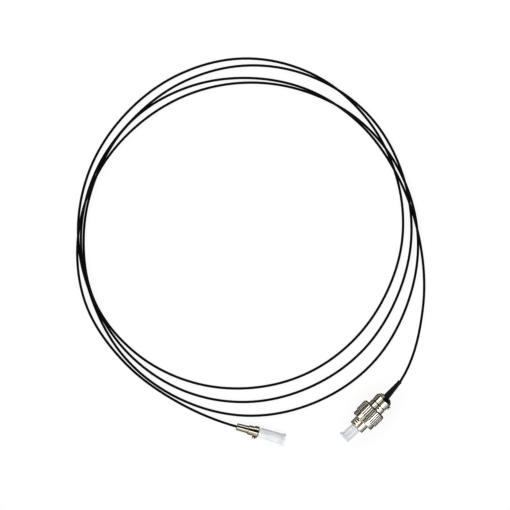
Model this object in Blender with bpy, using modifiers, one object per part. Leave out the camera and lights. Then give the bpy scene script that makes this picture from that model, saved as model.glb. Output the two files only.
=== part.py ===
"""Fibre optic patch cord: a loose coil of black 0.9 mm cord between a threaded round connector
and a bare ferrule on its metal flange, each under a push-on dust cap. Metres, +Z up, floor at 0.
"""

import math

import bmesh
import bpy
from mathutils import Matrix, Vector

# Clearances
SEAT_GAP = 0.0003  # between pieces that lie against or inside each other
CORD_APART = 0.00005  # between passes of the cord that touch

# Cord and its coil. Angles are in degrees, counter-clockwise from +X, seen from above.
CORD_RADIUS = 0.00045
COIL_CENTRE = Vector((-0.0014, 0.00545, 0.0))
RADIUS_STEP = 22.5
FIRST_RADIUS_ANGLE = -67.5
COIL_RADII = (
    # from the connector's boot into the first turn
    0.0821, 0.0810, 0.0729,
    # first turn, from the right-hand side
    0.0660, 0.0624, 0.0615, 0.0614, 0.0614, 0.0623, 0.0633, 0.0628,
    0.0631, 0.0638, 0.0620, 0.0598, 0.0580, 0.0571, 0.0568, 0.0575,
    # second turn
    0.0596, 0.0619, 0.0648, 0.0676, 0.0689, 0.0681, 0.0668, 0.0661,
    0.0652, 0.0641, 0.0640, 0.0639, 0.0633, 0.0624, 0.0621, 0.0619,
    # third turn
    0.0630, 0.0644, 0.0662, 0.0666, 0.0662, 0.0648, 0.0634, 0.0637,
    0.0641, 0.0644, 0.0661, 0.0674, 0.0686, 0.0686, 0.0682, 0.0666,
    # last part turn, out to the ferrule
    0.0655, 0.0639, 0.0623, 0.0605, 0.0596, 0.0596, 0.0605, 0.0627,
    0.0652, 0.0673, 0.0675, 0.0689, 0.0738, 0.0824,
)
CORD_START_ANGLE = -43.1
CORD_END_ANGLE = 1346.7
START_FALL_ANGLE = 31.0  # the cord comes down from the boot over this part of the turn
END_RISE_ANGLE = 17.0
FINE_STEP = 4.5  # heights are worked out this often
TUBE_STEP = 18.0  # the tube has a point this often
HUMP_REACH_ANGLE = 18.0  # a hump outlasts its crossing by this much at each end
HUMP_EASE_ANGLE = 9.0  # and is eased over this much, twice
LAYERS = 4

# Coupling nut of the connector. Stations run forward along the axis from its front face.
NUT_RADIUS = 0.0050
NUT_LENGTH = 0.0070
NUT_CHAMFER = 0.0006
COLLAR_RADIUS = 0.00465
COLLAR_LENGTH = 0.0021
COLLAR_EDGE = 0.0003
NUT_THREAD_RADIUS = 0.00365
NUT_THREAD_LENGTH = 0.0035
NUT_RELIEF_RADIUS = 0.0041
NUT_REAR_WALL = 0.0010
FLUTES = 36
FLUTE_DEPTH = 0.00022
FLUTE_WIDTH = 0.00050

# Front shell with its key
SHELL_RADIUS = 0.0030
SHELL_BORE_RADIUS = 0.0024
SHELL_REACH = 0.0032  # ahead of the nut
SHELL_EDGE = 0.0002
SHELL_FLANGE_LENGTH = 0.0010
KEY_WIDTH = 0.0021
KEY_LENGTH = 0.0026
KEY_HEIGHT = 0.00045  # its corners stay inside the thread, so that the nut passes over it
KEY_BEHIND_FRONT = 0.0003
KEY_ANGLE = 110.0

# Rear body with the ring that the nut turns on
WAIST_RADIUS = 0.00325
RING_WALL = 0.00055
RING_LENGTH = 0.0029
RING_HOLE_RADIUS = 0.00025
RING_HOLE_BEHIND_NUT = 0.0010
RING_HOLE_ANGLE = 74.0
BODY_BEHIND_NUT = 0.0063
BODY_CHAMFER = 0.00165
BODY_RIM_RADIUS = 0.00335
BODY_RIM_LENGTH = 0.0014
SPIGOT_LENGTH = 0.0024
SPIGOT_BORE_DEPTH = 0.0034
PIP_HEIGHT = 0.0007
PIP_WIDTH = 0.0010
PIP_LENGTH = 0.0013

# Rubber boot
BOOT_LENGTH = 0.0090
BOOT_PLUG_LENGTH = 0.0010
BOOT_BASE_RADIUS = 0.00125
BOOT_TIP_RADIUS = 0.00074
BOOT_LIP_HEIGHT = 0.0001
BOOT_LIP_LENGTH = 0.0005
BOOT_LEAN = 3.5

# Ferrules, alike at both ends
FERRULE_RADIUS = 0.00125
FERRULE_TIP_RADIUS = 0.0008
FERRULE_TIP_LENGTH = 0.0005
CONNECTOR_FERRULE_REACH = 0.0020  # ahead of the shell
CONNECTOR_FERRULE_LENGTH = 0.0102
BARE_FERRULE_REACH = 0.0076  # ahead of its flange
BARE_FERRULE_SEAT = 0.0027

# Dust caps, alike at both ends
CAP_LENGTH = 0.0101
CAP_MOUTH_RADIUS = 0.00195
CAP_END_RADIUS = 0.00215
CAP_LIP_RADIUS = 0.00245
CAP_LIP_OFFSET = 0.0004
CAP_LIP_LENGTH = 0.0007
CAP_END_WALL = 0.0007
CAP_TIP_BEYOND_SHELL = 0.0063
CONNECTOR_CAP_TILT = 2.5
CONNECTOR_CAP_PIVOT = 0.0020  # ahead of the nut's front
BARE_CAP_TILT = 2.0
CONNECTOR_LIP_ANGLE = 180.0
BARE_LIP_ANGLE = 90.0

# Metal flange of the bare ferrule
TAIL_REAR_RADIUS = 0.00130
TAIL_FRONT_RADIUS = 0.00142
TAIL_LENGTH = 0.0046
TAIL_BORE_DEPTH = 0.0015
TAIL_BORE_RADIUS = CORD_RADIUS + SEAT_GAP
FIRST_RING_RADIUS = 0.0018
FIRST_RING_LENGTH = 0.0019
RING_GROOVE = 0.0003
RING_GROOVE_RADIUS = 0.0015
SECOND_RING_RADIUS = 0.00215
SECOND_RING_LENGTH = 0.00185
RING_EDGE = 0.0002
LUG_HEIGHT = 0.0006
LUG_WIDTH = 0.0010
LUG_LENGTH = 0.0016

CONNECTOR_HEADING = -135.0  # the way the connector's front points
FERRULE_HEADING = -15.0
SIDES = 48
SHARP_ANGLE = 35.0

for old in list(bpy.data.objects):
    bpy.data.objects.remove(old, do_unlink=True)

PARTS = bpy.data.collections.new("fibre_patch_cord")
CUTTERS = bpy.data.collections.new("cutters")
bpy.context.scene.collection.children.link(PARTS)
bpy.context.scene.collection.children.link(CUTTERS)


def finish(name, colour, roughness, metallic):
    """A plain Principled material in the piece's own colour."""
    made = bpy.data.materials.new(name)
    made.use_nodes = True
    shader = made.node_tree.nodes["Principled BSDF"]
    shader.inputs["Base Color"].default_value = (*colour, 1.0)
    shader.inputs["Roughness"].default_value = roughness
    shader.inputs["Metallic"].default_value = metallic
    return made


def axis_frame(name, origin, heading, lean=0.0):
    """An empty whose +Z points along the heading and whose +Y points up."""
    turn = math.radians(heading + lean)
    forward = Vector((math.cos(turn), math.sin(turn), 0.0))
    up = Vector((0.0, 0.0, 1.0))
    side = up.cross(forward)
    frame = bpy.data.objects.new(name, None)
    PARTS.objects.link(frame)
    frame.matrix_world = Matrix.Translation(origin) @ Matrix((side, up, forward)).transposed().to_4x4()
    return frame


def add_piece(name, mesh, parent, collection=PARTS):
    piece = bpy.data.objects.new(name, mesh)
    collection.objects.link(piece)
    piece.parent = parent
    return piece


def turned(name, outline, parent, collection=PARTS):
    """A turned piece. Its outline, in (radius, station) pairs, runs down the outer side from the front."""
    points = [(radius, 0.0, station) for radius, station in outline]
    edges = [(i, i + 1) for i in range(len(points) - 1)]
    if outline[0][0] > 0.0:
        edges.append((len(points) - 1, 0))
    mesh = bpy.data.meshes.new(name)
    mesh.from_pydata(points, edges, [])
    piece = add_piece(name, mesh, parent, collection)
    screw = piece.modifiers.new("Turn", "SCREW")
    screw.steps = SIDES
    screw.render_steps = SIDES
    screw.use_merge_vertices = True
    screw.merge_threshold = 0.000001
    return piece


def as_cutter(piece):
    piece.hide_render = True
    piece.display_type = "WIRE"
    return piece


def block(name, size, angle, radius, station, parent):
    """A box whose middle stands at a radius and station, turned to the angle about the axis."""
    mesh = bpy.data.meshes.new(name)
    cage = bmesh.new()
    bmesh.ops.create_cube(cage, size=1.0, matrix=Matrix.Diagonal((*size, 1.0)))
    cage.to_mesh(mesh)
    cage.free()
    piece = as_cutter(add_piece(name, mesh, parent, CUTTERS))
    turn = Matrix.Rotation(math.radians(angle), 4, "Z")
    piece.matrix_local = turn @ Matrix.Translation((radius, 0.0, station))
    return piece


def combine(piece, other, operation):
    """Cuts the other shape from the piece, or joins it on."""
    change = piece.modifiers.new(other.name, "BOOLEAN")
    change.operation = operation
    change.object = other


def settle(piece, material):
    """Makes the modifiers' result the piece's own mesh, shaded smooth up to its sharp edges."""
    bpy.context.view_layer.update()
    graph = bpy.context.evaluated_depsgraph_get()
    mesh = bpy.data.meshes.new_from_object(piece.evaluated_get(graph))
    piece.modifiers.clear()
    piece.data = mesh
    mesh.name = piece.name
    mesh.materials.clear()
    mesh.materials.append(material)
    mesh.shade_smooth()
    mesh.set_sharp_from_angle(angle=math.radians(SHARP_ANGLE))


# Cord


def coil_radius(angle):
    """The cord's distance from the coil's centre, smooth through the listed radii."""
    place = (angle - FIRST_RADIUS_ANGLE) / RADIUS_STEP
    i = min(int(place), len(COIL_RADII) - 3)
    t = place - i
    a, b, c, d = COIL_RADII[i - 1:i + 3]
    return 0.5 * (2 * b + (c - a) * t + (2 * a - 5 * b + 4 * c - d) * t**2 + (3 * b - a - 3 * c + d) * t**3)


def eased(share):
    """0 to 1 with level ends."""
    share = min(max(share, 0.0), 1.0)
    return share * share * (3.0 - 2.0 * share)


def resting_height(angle):
    """On the floor, but for the falls from the boot and up to the flange."""
    fall = 1.0 - eased((angle - CORD_START_ANGLE - FINE_STEP) / START_FALL_ANGLE)
    rise = eased((angle - CORD_END_ANGLE + FINE_STEP) / END_RISE_ANGLE + 1.0)
    return CORD_RADIUS + fall * (NUT_RADIUS - CORD_RADIUS) + rise * (CAP_END_RADIUS - CORD_RADIUS)


def averaged(values, reach):
    return [
        sum(values[max(0, i - reach):i + reach + 1]) / len(values[max(0, i - reach):i + reach + 1])
        for i in range(len(values))
    ]


def cord_heights():
    """The centreline's height every fine step: each turn passes over the earlier ones in long humps."""
    steps = round((CORD_END_ANGLE - CORD_START_ANGLE) / FINE_STEP) + 2
    angles = [FINE_STEP * (math.floor(CORD_START_ANGLE / FINE_STEP) + i) for i in range(steps)]
    radii = [coil_radius(angle) for angle in angles]
    rest = [resting_height(angle) for angle in angles]
    turn = round(360.0 / FINE_STEP)
    reach = round(HUMP_REACH_ANGLE / FINE_STEP)
    ease = round(HUMP_EASE_ANGLE / FINE_STEP)
    apart = 2 * CORD_RADIUS + CORD_APART
    heights = rest
    for _ in range(LAYERS):
        lift = [0.0] * steps
        for i in range(steps):
            for below in range(i - turn, -1, -turn):
                if abs(radii[i] - radii[below]) < apart:
                    lift[i] = max(lift[i], heights[below] + apart - rest[i])
        lift = [max(lift[max(0, i - reach):i + reach + 1]) for i in range(steps)]
        lift = averaged(averaged(lift, ease), ease)
        heights = [low + more for low, more in zip(rest, lift)]
    return angles, heights


def cord_point(angle, angles, heights, outset=1.0):
    """A point of the cord's centreline, which the outset moves away from the coil's centre."""
    place = (angle - angles[0]) / FINE_STEP
    i = min(int(place), len(heights) - 2)
    height = heights[i] + (heights[i + 1] - heights[i]) * (place - i)
    turn = math.radians(angle)
    flat = Vector((math.cos(turn), math.sin(turn), 0.0)) * coil_radius(angle) * outset
    return COIL_CENTRE + flat + Vector((0.0, 0.0, height))


def cord_route():
    """The tube's points. Those within the coil stand half a chord's sag outside the smooth line."""
    angles, heights = cord_heights()
    first = math.ceil(CORD_START_ANGLE / TUBE_STEP)
    last = math.floor(CORD_END_ANGLE / TUBE_STEP)
    outset = 1.0 / math.sqrt(math.cos(math.radians(TUBE_STEP / 2)))
    ends = {CORD_START_ANGLE, first * TUBE_STEP, (first + 0.5) * TUBE_STEP}
    ends |= {last * TUBE_STEP, (last + 0.5) * TUBE_STEP, CORD_END_ANGLE}
    within = [TUBE_STEP * i for i in range(first + 1, last)]
    return [
        cord_point(angle, angles, heights, 1.0 if angle in ends else outset)
        for angle in sorted([*ends, *within])
    ]


def build_cord(route):
    """A black tight-buffered fibre, 0.9 mm across, in one piece from end to end."""
    line = bpy.data.curves.new("cord", "CURVE")
    line.dimensions = "3D"
    line.bevel_depth = CORD_RADIUS
    line.bevel_resolution = 2
    line.use_fill_caps = True
    spline = line.splines.new("POLY")
    spline.points.add(len(route) - 1)
    for point, place in zip(spline.points, route):
        point.co = (*place, 1.0)
    line.materials.append(finish("cord_jacket", (0.012, 0.013, 0.015), 0.4, 0.0))
    add_piece("cord", line, None)


# Connector


def build_nut(axis, nickel):
    """The coupling nut: fluted grip, smooth collar in front, thread bore and relief inside."""
    rear = -NUT_LENGTH
    wall_bore = WAIST_RADIUS + SEAT_GAP
    nut = turned(
        "coupling_nut",
        (
            (COLLAR_RADIUS - COLLAR_EDGE, 0.0),
            (COLLAR_RADIUS, -COLLAR_EDGE),
            (COLLAR_RADIUS, -COLLAR_LENGTH),
            (NUT_RADIUS - NUT_CHAMFER / 3, -COLLAR_LENGTH),
            (NUT_RADIUS, -COLLAR_LENGTH - NUT_CHAMFER / 3),
            (NUT_RADIUS, rear + NUT_CHAMFER),
            (NUT_RADIUS - NUT_CHAMFER, rear),
            (wall_bore, rear),
            (wall_bore, rear + NUT_REAR_WALL),
            (NUT_RELIEF_RADIUS, rear + NUT_REAR_WALL),
            (NUT_RELIEF_RADIUS, -NUT_THREAD_LENGTH),
            (NUT_THREAD_RADIUS, -NUT_THREAD_LENGTH),
            (NUT_THREAD_RADIUS, 0.0),
        ),
        axis,
    )
    grip = NUT_LENGTH - COLLAR_LENGTH
    mesh = bpy.data.meshes.new("flutes")
    cage = bmesh.new()
    for i in range(FLUTES):
        turn = Matrix.Rotation(2 * math.pi * (i + 0.5) / FLUTES, 4, "Z")
        bmesh.ops.create_cone(
            cage,
            cap_ends=True,
            segments=4,
            radius1=1.0,
            radius2=1.0,
            depth=grip + 2 * NUT_CHAMFER,
            matrix=turn
            @ Matrix.Translation((NUT_RADIUS, 0.0, -COLLAR_LENGTH - grip / 2))
            @ Matrix.Diagonal((FLUTE_DEPTH, FLUTE_WIDTH / 2, 1.0, 1.0)),
        )
    cage.to_mesh(mesh)
    cage.free()
    flutes = as_cutter(add_piece("flutes", mesh, axis, CUTTERS))
    combine(nut, flutes, "DIFFERENCE")
    settle(nut, nickel)


def build_shell(axis, nickel):
    """The front shell: a tube with a key on its side and a flange that holds the nut."""
    rear = -NUT_LENGTH + NUT_REAR_WALL + SEAT_GAP
    flange_front = rear + SHELL_FLANGE_LENGTH
    shell = turned(
        "front_shell",
        (
            (SHELL_RADIUS - SHELL_EDGE, SHELL_REACH),
            (SHELL_RADIUS, SHELL_REACH - SHELL_EDGE),
            (SHELL_RADIUS, flange_front),
            (NUT_RELIEF_RADIUS - SEAT_GAP, flange_front),
            (NUT_RELIEF_RADIUS - SEAT_GAP, rear),
            (SHELL_BORE_RADIUS, rear),
            (SHELL_BORE_RADIUS, SHELL_REACH),
        ),
        axis,
    )
    sunk = (SHELL_RADIUS - SHELL_BORE_RADIUS) / 2
    key = block(
        "key",
        (KEY_HEIGHT + sunk, KEY_WIDTH, KEY_LENGTH),
        KEY_ANGLE,
        SHELL_RADIUS + (KEY_HEIGHT - sunk) / 2,
        SHELL_REACH - KEY_BEHIND_FRONT - KEY_LENGTH / 2,
        axis,
    )
    combine(shell, key, "UNION")
    settle(shell, nickel)


def build_ring(axis, nickel):
    """The plain ring on the body's neck, which the nut turns on, with its small hole."""
    front = -NUT_LENGTH + NUT_REAR_WALL
    ring = turned(
        "bearing_ring",
        (
            (WAIST_RADIUS, front),
            (WAIST_RADIUS, front - RING_LENGTH),
            (WAIST_RADIUS - RING_WALL, front - RING_LENGTH),
            (WAIST_RADIUS - RING_WALL, front),
        ),
        axis,
    )
    mesh = bpy.data.meshes.new("ring_hole")
    cage = bmesh.new()
    bmesh.ops.create_cone(
        cage,
        cap_ends=True,
        segments=SIDES // 3,
        radius1=RING_HOLE_RADIUS,
        radius2=RING_HOLE_RADIUS,
        depth=4 * RING_WALL,
        matrix=Matrix.Rotation(math.pi / 2, 4, "Y"),
    )
    cage.to_mesh(mesh)
    cage.free()
    hole = as_cutter(add_piece("ring_hole", mesh, axis, CUTTERS))
    turn = Matrix.Rotation(math.radians(RING_HOLE_ANGLE), 4, "Z")
    hole.matrix_local = turn @ Matrix.Translation((WAIST_RADIUS, 0.0, -NUT_LENGTH - RING_HOLE_BEHIND_NUT))
    combine(ring, hole, "DIFFERENCE")
    settle(ring, nickel)


def build_rear_body(axis, nickel):
    """The rear body: spigot in the shell, neck under the ring, rim with its pip, and a boot socket."""
    shell_rear = -NUT_LENGTH + NUT_REAR_WALL + SEAT_GAP
    spigot_front = shell_rear + SPIGOT_LENGTH
    spigot_radius = SHELL_BORE_RADIUS - SEAT_GAP
    neck_radius = WAIST_RADIUS - RING_WALL - SEAT_GAP
    waist_front = -NUT_LENGTH + NUT_REAR_WALL - RING_LENGTH - SEAT_GAP
    rear = -NUT_LENGTH - BODY_BEHIND_NUT
    rim_rear = rear + BODY_CHAMFER
    rim_front = rim_rear + BODY_RIM_LENGTH
    neck_front = shell_rear - SEAT_GAP
    socket_floor = rear + BOOT_PLUG_LENGTH + SEAT_GAP
    socket = BOOT_BASE_RADIUS + SEAT_GAP
    bore = FERRULE_RADIUS + SEAT_GAP
    body = turned(
        "rear_body",
        (
            (0.0, spigot_front - SPIGOT_BORE_DEPTH),
            (bore, spigot_front - SPIGOT_BORE_DEPTH),
            (bore, spigot_front),
            (spigot_radius, spigot_front),
            (spigot_radius, neck_front),
            (neck_radius, neck_front),
            (neck_radius, waist_front),
            (WAIST_RADIUS, waist_front),
            (WAIST_RADIUS, rim_front),
            (BODY_RIM_RADIUS, rim_front),
            (BODY_RIM_RADIUS, rim_rear),
            (BODY_RIM_RADIUS - BODY_CHAMFER, rear),
            (socket, rear),
            (socket, socket_floor),
            (0.0, socket_floor),
        ),
        axis,
    )
    pip = block(
        "pip",
        (2 * PIP_HEIGHT, PIP_WIDTH, PIP_LENGTH),
        0.0,
        BODY_RIM_RADIUS,
        (rim_front + rim_rear) / 2,
        axis,
    )
    combine(body, pip, "UNION")
    settle(body, nickel)


def build_boot(axis, rubber):
    """The rubber boot, from its socket in the body to a lip at the tip, leaning as the cord pulls it."""
    boot = turned(
        "boot",
        (
            (0.0, BOOT_LENGTH),
            (BOOT_TIP_RADIUS + BOOT_LIP_HEIGHT, BOOT_LENGTH),
            (BOOT_TIP_RADIUS + BOOT_LIP_HEIGHT, BOOT_LENGTH - BOOT_LIP_LENGTH),
            (BOOT_TIP_RADIUS, BOOT_LENGTH - BOOT_LIP_LENGTH),
            (BOOT_BASE_RADIUS, BOOT_PLUG_LENGTH),
            (BOOT_BASE_RADIUS, 0.0),
            (0.0, 0.0),
        ),
        axis,
    )
    settle(boot, rubber)


def build_ferrule(name, tip, length, axis, zirconia):
    """A white zirconia ferrule with a chamfered tip."""
    ferrule = turned(
        name,
        (
            (0.0, tip),
            (FERRULE_TIP_RADIUS, tip),
            (FERRULE_RADIUS, tip - FERRULE_TIP_LENGTH),
            (FERRULE_RADIUS, tip - length),
            (0.0, tip - length),
        ),
        axis,
    )
    settle(ferrule, zirconia)


def build_cap(name, tip, lip_angle, axis, polythene):
    """A dust cap: a slightly conical tube with a shut end, whose lip stands out to one side."""
    bore = FERRULE_RADIUS + SEAT_GAP
    cap = turned(
        name,
        (
            (0.0, tip),
            (CAP_END_RADIUS, tip),
            (CAP_MOUTH_RADIUS, tip - CAP_LENGTH),
            (bore, tip - CAP_LENGTH),
            (bore, tip - CAP_END_WALL),
            (0.0, tip - CAP_END_WALL),
        ),
        axis,
    )
    lip = as_cutter(
        turned(
            name + "_lip",
            (
                (0.0, tip),
                (CAP_LIP_RADIUS, tip),
                (CAP_LIP_RADIUS, tip - CAP_LIP_LENGTH),
                (0.0, tip - CAP_LIP_LENGTH),
            ),
            axis,
            CUTTERS,
        )
    )
    turn = Matrix.Rotation(math.radians(lip_angle), 4, "Z")
    lip.matrix_local = turn @ Matrix.Translation((CAP_LIP_OFFSET, 0.0, 0.0))
    combine(cap, lip, "UNION")
    settle(cap, polythene)


# Bare ferrule end


def build_flange(axis, nickel):
    """The ferrule's metal flange: tail tube for the cord, two rings and a lug, seat for the ferrule."""
    second_rear = -SECOND_RING_LENGTH
    first_front = second_rear - RING_GROOVE
    first_rear = first_front - FIRST_RING_LENGTH
    tail_rear = first_rear - TAIL_LENGTH
    seat = FERRULE_RADIUS + SEAT_GAP
    seat_floor = -BARE_FERRULE_SEAT - SEAT_GAP
    flange = turned(
        "ferrule_flange",
        (
            (0.0, seat_floor),
            (seat, seat_floor),
            (seat, 0.0),
            (SECOND_RING_RADIUS - RING_EDGE, 0.0),
            (SECOND_RING_RADIUS, -RING_EDGE),
            (SECOND_RING_RADIUS, second_rear),
            (RING_GROOVE_RADIUS + SEAT_GAP / 2, second_rear),
            (RING_GROOVE_RADIUS + SEAT_GAP / 2, first_front),
            (FIRST_RING_RADIUS, first_front),
            (FIRST_RING_RADIUS, first_rear + RING_EDGE),
            (FIRST_RING_RADIUS - RING_EDGE, first_rear),
            (TAIL_FRONT_RADIUS, first_rear),
            (TAIL_REAR_RADIUS, tail_rear + RING_EDGE),
            (TAIL_REAR_RADIUS - RING_EDGE, tail_rear),
            (TAIL_BORE_RADIUS, tail_rear),
            (TAIL_BORE_RADIUS, tail_rear + TAIL_BORE_DEPTH),
            (0.0, tail_rear + TAIL_BORE_DEPTH),
        ),
        axis,
    )
    lug = block(
        "lug",
        (2 * LUG_HEIGHT, LUG_WIDTH, LUG_LENGTH),
        180.0,
        SECOND_RING_RADIUS,
        -SECOND_RING_LENGTH / 2,
        axis,
    )
    combine(flange, lug, "UNION")
    settle(flange, nickel)


def main():
    nickel = finish("nickel_plated_brass", (0.66, 0.64, 0.60), 0.22, 1.0)
    rubber = finish("boot_rubber", (0.014, 0.015, 0.017), 0.55, 0.0)
    zirconia = finish("zirconia", (0.85, 0.84, 0.80), 0.15, 0.0)
    polythene = finish("natural_polythene", (0.72, 0.76, 0.78), 0.35, 0.0)

    route = cord_route()
    rearward = math.radians(CONNECTOR_HEADING + 180.0 + BOOT_LEAN)
    boot_way = Vector((math.cos(rearward), math.sin(rearward), 0.0))
    boot_foot = route[0] - boot_way * (BOOT_LENGTH + SEAT_GAP)
    ahead = math.radians(CONNECTOR_HEADING)
    forward = Vector((math.cos(ahead), math.sin(ahead), 0.0))
    foot_behind_nut_front = NUT_LENGTH + BODY_BEHIND_NUT - BOOT_PLUG_LENGTH
    connector = axis_frame("connector_axis", boot_foot + forward * foot_behind_nut_front, CONNECTOR_HEADING)
    boot_axis = axis_frame("boot_axis", boot_foot, CONNECTOR_HEADING + 180.0, BOOT_LEAN)
    build_nut(connector, nickel)
    build_shell(connector, nickel)
    build_ring(connector, nickel)
    build_rear_body(connector, nickel)
    build_boot(boot_axis, rubber)
    build_ferrule(
        "connector_ferrule",
        SHELL_REACH + CONNECTOR_FERRULE_REACH,
        CONNECTOR_FERRULE_LENGTH,
        connector,
        zirconia,
    )
    cap_pivot = boot_foot + forward * (foot_behind_nut_front + CONNECTOR_CAP_PIVOT)
    connector_cap = axis_frame("connector_cap_axis", cap_pivot, CONNECTOR_HEADING, -CONNECTOR_CAP_TILT)
    cap_tip = SHELL_REACH + CAP_TIP_BEYOND_SHELL - CONNECTOR_CAP_PIVOT
    build_cap("connector_cap", cap_tip, CONNECTOR_LIP_ANGLE, connector_cap, polythene)

    bare = math.radians(FERRULE_HEADING)
    bare_forward = Vector((math.cos(bare), math.sin(bare), 0.0))
    flange_length = SECOND_RING_LENGTH + RING_GROOVE + FIRST_RING_LENGTH + TAIL_LENGTH
    route.append(route[-1] + bare_forward * (TAIL_BORE_DEPTH - SEAT_GAP))
    flange_front = route[-1] + bare_forward * (flange_length - TAIL_BORE_DEPTH + SEAT_GAP)
    build_cord(route)
    ferrule_axis = axis_frame("ferrule_axis", flange_front, FERRULE_HEADING)
    build_flange(ferrule_axis, nickel)
    build_ferrule(
        "bare_ferrule", BARE_FERRULE_REACH, BARE_FERRULE_REACH + BARE_FERRULE_SEAT, ferrule_axis, zirconia
    )
    cap_pivot = flange_front + bare_forward * BARE_FERRULE_REACH / 2
    bare_cap = axis_frame("bare_cap_axis", cap_pivot, FERRULE_HEADING, -BARE_CAP_TILT)
    cap_tip = CAP_LENGTH + SEAT_GAP - BARE_FERRULE_REACH / 2
    build_cap("bare_ferrule_cap", cap_tip, BARE_LIP_ANGLE, bare_cap, polythene)


main()
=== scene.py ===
"""The looks of a fibre optic patch cord: a loose coil of thin black cord between a threaded round
connector and a bare flanged ferrule, each under a dust cap. In metres, in the solids' own frame.
"""

import math

import bpy
from mathutils import Matrix, Vector


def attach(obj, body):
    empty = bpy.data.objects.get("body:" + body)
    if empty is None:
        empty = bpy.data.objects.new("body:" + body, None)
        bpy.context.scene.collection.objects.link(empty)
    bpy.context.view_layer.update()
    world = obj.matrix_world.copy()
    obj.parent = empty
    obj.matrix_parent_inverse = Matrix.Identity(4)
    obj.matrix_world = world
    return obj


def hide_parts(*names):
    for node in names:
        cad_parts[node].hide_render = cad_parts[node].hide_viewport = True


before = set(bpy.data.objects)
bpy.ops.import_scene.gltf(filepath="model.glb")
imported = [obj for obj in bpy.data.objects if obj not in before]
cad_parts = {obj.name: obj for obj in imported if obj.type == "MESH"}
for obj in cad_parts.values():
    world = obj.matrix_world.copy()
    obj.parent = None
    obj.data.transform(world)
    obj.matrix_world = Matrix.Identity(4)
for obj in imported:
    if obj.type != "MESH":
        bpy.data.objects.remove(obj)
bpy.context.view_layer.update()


# Camera
# The cord is seen from straight above, from far enough away that the coil and the taller
# connector keep the same scale. The picture takes in 196 mm, across and up.
PICTURE_WIDTH = 0.19635
PICTURE_MIDDLE = (0.00146, -0.00129)
CAMERA_HEIGHT = 2.0
SENSOR = 0.036

camera = bpy.data.objects.new("camera", bpy.data.cameras.new("camera"))
bpy.context.scene.collection.objects.link(camera)
camera.location = (*PICTURE_MIDDLE, CAMERA_HEIGHT)
camera.data.sensor_width = SENSOR * 1000
camera.data.lens = SENSOR * 1000 * CAMERA_HEIGHT / PICTURE_WIDTH
bpy.context.scene.camera = camera


# Cord
# One tight-buffered fibre, 0.9 mm across and about 1.56 m long: glass in a soft black jacket. It
# lies loose, in nearly four turns, and each turn rests on the ones below where it crosses them.
CORD_RADIUS = 0.00045
CORD_APART = 0.00005
COIL_CENTRE = Vector((-0.0014, 0.00545, 0.0))
RADIUS_STEP = 22.5
FIRST_RADIUS_ANGLE = -67.5
COIL_RADII = (
    # from the connector's boot into the first turn
    0.0821, 0.0810, 0.0729,
    # first turn, from the right-hand side
    0.0660, 0.0624, 0.0615, 0.0614, 0.0614, 0.0623, 0.0633, 0.0628,
    0.0631, 0.0638, 0.0620, 0.0598, 0.0580, 0.0571, 0.0568, 0.0575,
    # second turn
    0.0596, 0.0619, 0.0648, 0.0676, 0.0689, 0.0681, 0.0668, 0.0661,
    0.0652, 0.0641, 0.0640, 0.0639, 0.0633, 0.0624, 0.0621, 0.0619,
    # third turn
    0.0630, 0.0644, 0.0662, 0.0666, 0.0662, 0.0648, 0.0634, 0.0637,
    0.0641, 0.0644, 0.0661, 0.0674, 0.0686, 0.0686, 0.0682, 0.0666,
    # last part turn, out to the ferrule
    0.0655, 0.0639, 0.0623, 0.0605, 0.0596, 0.0596, 0.0605, 0.0627,
    0.0652, 0.0673, 0.0675, 0.0689, 0.0738, 0.0824,
)
CORD_START = -43.1
CORD_END = 1346.7
CORD_STEP = 2.25
BOOT_TIP_HEIGHT = 0.0050
TAIL_HEIGHT = 0.00215
FALL_ANGLE = 31.0
RISE_ANGLE = 17.0
HUMP_REACH = 18.0
LAYERS = 4
IN_BOOT = 0.0015
IN_TAIL = 0.0012
BOOT_HEADING = 48.5
FERRULE_HEADING = -15.0


def coil_radius(angle):
    """The cord's distance from the coil's middle, on a smooth line through the listed radii."""
    place = (angle - FIRST_RADIUS_ANGLE) / RADIUS_STEP
    i = min(int(place), len(COIL_RADII) - 3)
    t = place - i
    a, b, c, d = COIL_RADII[i - 1:i + 3]
    return 0.5 * (2 * b + (c - a) * t + (2 * a - 5 * b + 4 * c - d) * t**2 + (3 * b - a - 3 * c + d) * t**3)


def eased(share):
    share = min(max(share, 0.0), 1.0)
    return share * share * (3.0 - 2.0 * share)


def heading(angle):
    return Vector((math.cos(math.radians(angle)), math.sin(math.radians(angle)), 0.0))


def averaged(values, reach):
    spans = [values[max(0, i - reach):i + reach + 1] for i in range(len(values))]
    return [sum(span) / len(span) for span in spans]


steps = round((CORD_END - CORD_START) / CORD_STEP)
angles = [CORD_START + (CORD_END - CORD_START) * i / steps for i in range(steps + 1)]
per_turn = round(360.0 / CORD_STEP)
radii = [coil_radius(angle) for angle in angles]
rest = [
    CORD_RADIUS
    + (1.0 - eased((angle - CORD_START) / FALL_ANGLE)) * (BOOT_TIP_HEIGHT - CORD_RADIUS)
    + eased((angle - CORD_END) / RISE_ANGLE + 1.0) * (TAIL_HEIGHT - CORD_RADIUS)
    for angle in angles
]
apart = 2 * CORD_RADIUS + CORD_APART
reach = round(HUMP_REACH / CORD_STEP)
heights = rest
for layer in range(LAYERS):
    lift = [0.0] * len(angles)
    for i in range(len(angles)):
        for below in range(i - per_turn, -1, -per_turn):
            if abs(radii[i] - radii[below]) < apart:
                lift[i] = max(lift[i], heights[below] + apart - rest[i])
    lift = [max(lift[max(0, i - reach):i + reach + 1]) for i in range(len(lift))]
    lift = averaged(averaged(lift, reach // 2), reach // 2)
    heights = [low + more for low, more in zip(rest, lift)]

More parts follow.
